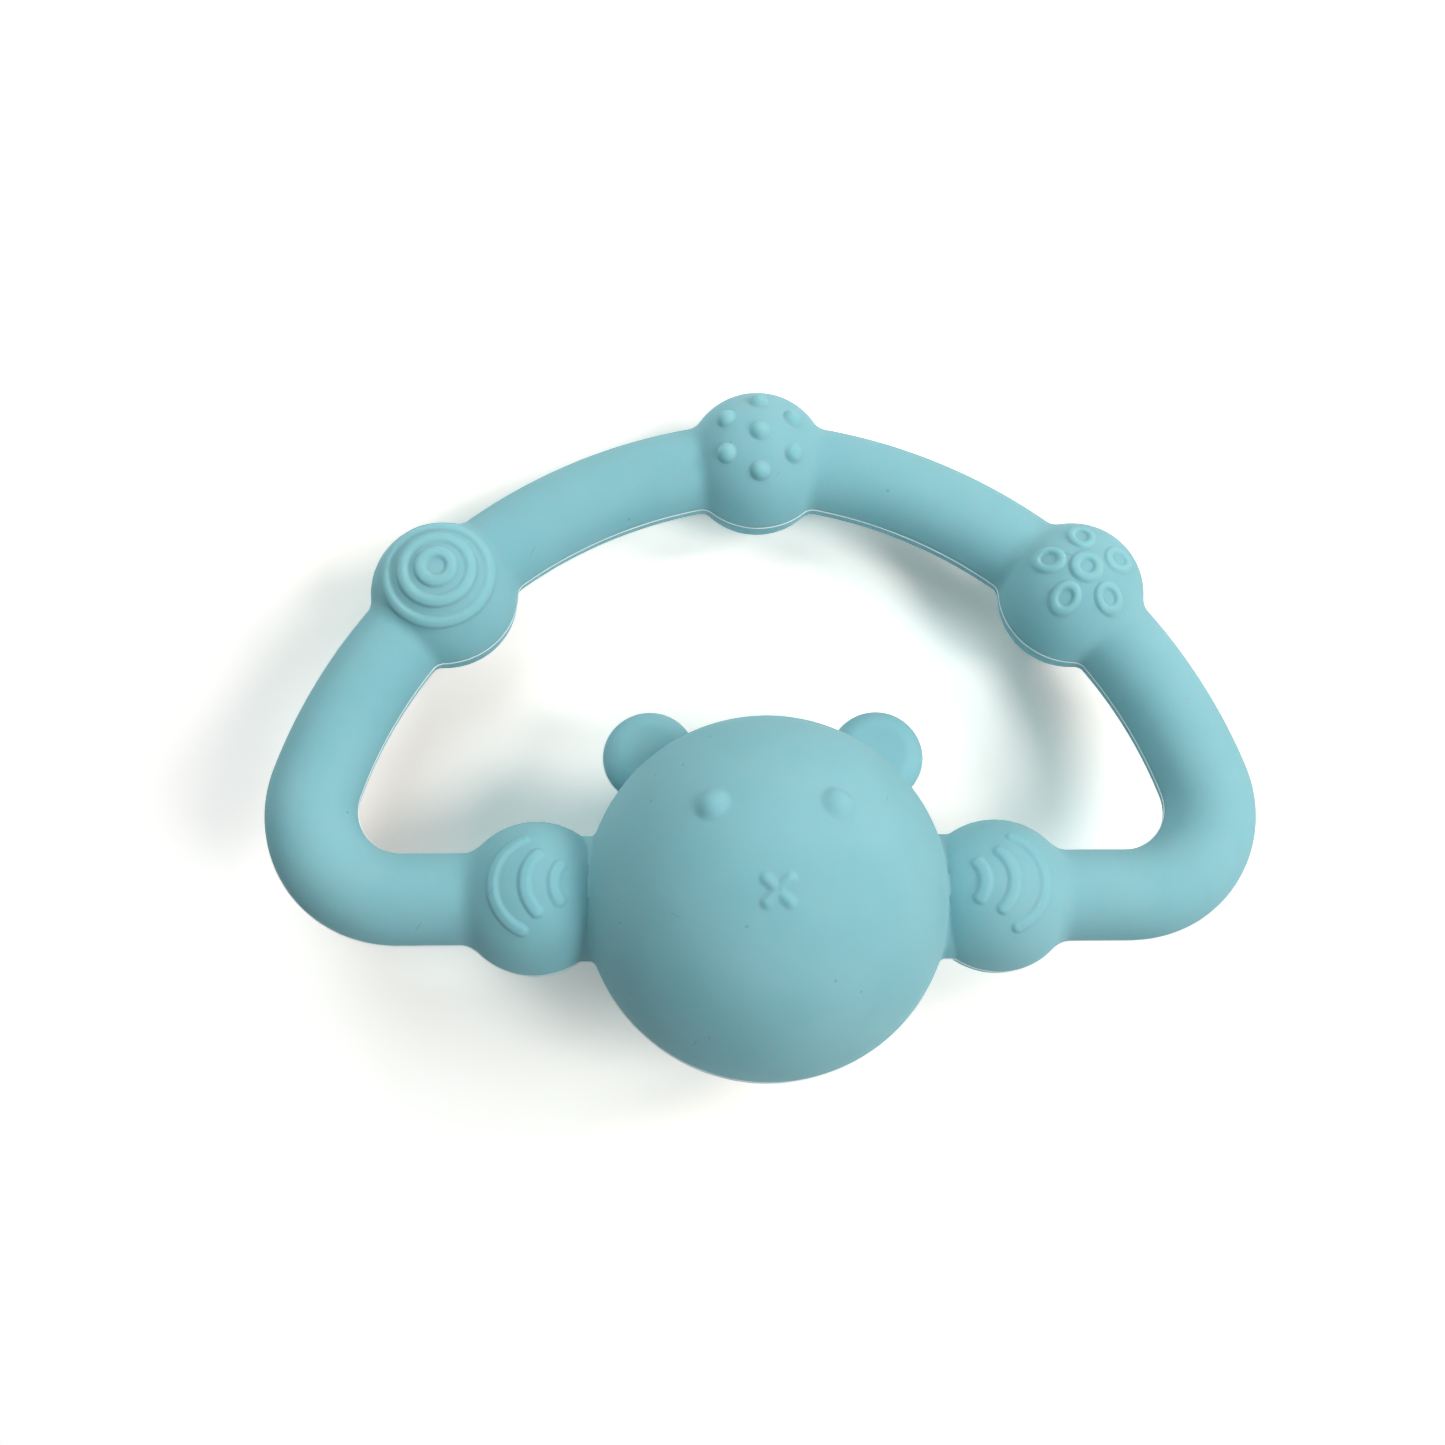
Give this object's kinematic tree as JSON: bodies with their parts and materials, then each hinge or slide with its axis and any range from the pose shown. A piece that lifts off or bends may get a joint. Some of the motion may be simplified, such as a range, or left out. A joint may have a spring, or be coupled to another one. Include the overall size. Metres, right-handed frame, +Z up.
{
  "type": "teething ring",
  "caption": "Silicone teething ring: an arched grip tube strung with textured beads, closed by a hollow bear head that holds a rattle capsule with loose pellets.",
  "frame": {"origin": "on the table, below the middle of the part's box, with the ring lying face up on its head and its top bead", "axes": "+X across the ring to the right of the face, +Y from the head towards the top of the arch, +Z up from the table"},
  "size_m": [0.095, 0.0688, 0.0346],
  "materials": {
    "silicone": "matte moulded silicone, powder blue",
    "capsule": "moulded polypropylene, ivory",
    "pellet": "tumbled plastic pellet, grey"
  },
  "bodies": {
    "ring": {"front_half": "silicone", "rear_half": "silicone", "capsule_front": "capsule", "capsule_rear": "capsule"},
    "pellet_1": {"pellet_1": "pellet"},
    "pellet_2": {"pellet_2": "pellet"},
    "pellet_3": {"pellet_3": "pellet"},
    "pellet_4": {"pellet_4": "pellet"},
    "pellet_5": {"pellet_5": "pellet"},
    "pellet_6": {"pellet_6": "pellet"},
    "pellet_7": {"pellet_7": "pellet"}
  },
  "joints": [
    {"name": "pellet_1_bounce", "type": "slide", "parent": "ring", "child": "pellet_1", "axis": [0, 0, 1], "range_m": [0, 0.0193]},
    {"name": "pellet_2_bounce", "type": "slide", "parent": "ring", "child": "pellet_2", "axis": [0, 0, 1], "range_m": [0, 0.01625]},
    {"name": "pellet_3_bounce", "type": "slide", "parent": "ring", "child": "pellet_3", "axis": [0, 0, 1], "range_m": [0, 0.01625]},
    {"name": "pellet_4_bounce", "type": "slide", "parent": "ring", "child": "pellet_4", "axis": [0, 0, 1], "range_m": [0, 0.01625]},
    {"name": "pellet_5_bounce", "type": "slide", "parent": "ring", "child": "pellet_5", "axis": [0, 0, 1], "range_m": [0, 0.01625]},
    {"name": "pellet_6_bounce", "type": "slide", "parent": "ring", "child": "pellet_6", "axis": [0, 0, 1], "range_m": [0, 0.01625]},
    {"name": "pellet_7_bounce", "type": "slide", "parent": "ring", "child": "pellet_7", "axis": [0, 0, 1], "range_m": [0, 0.01625]}
  ]
}
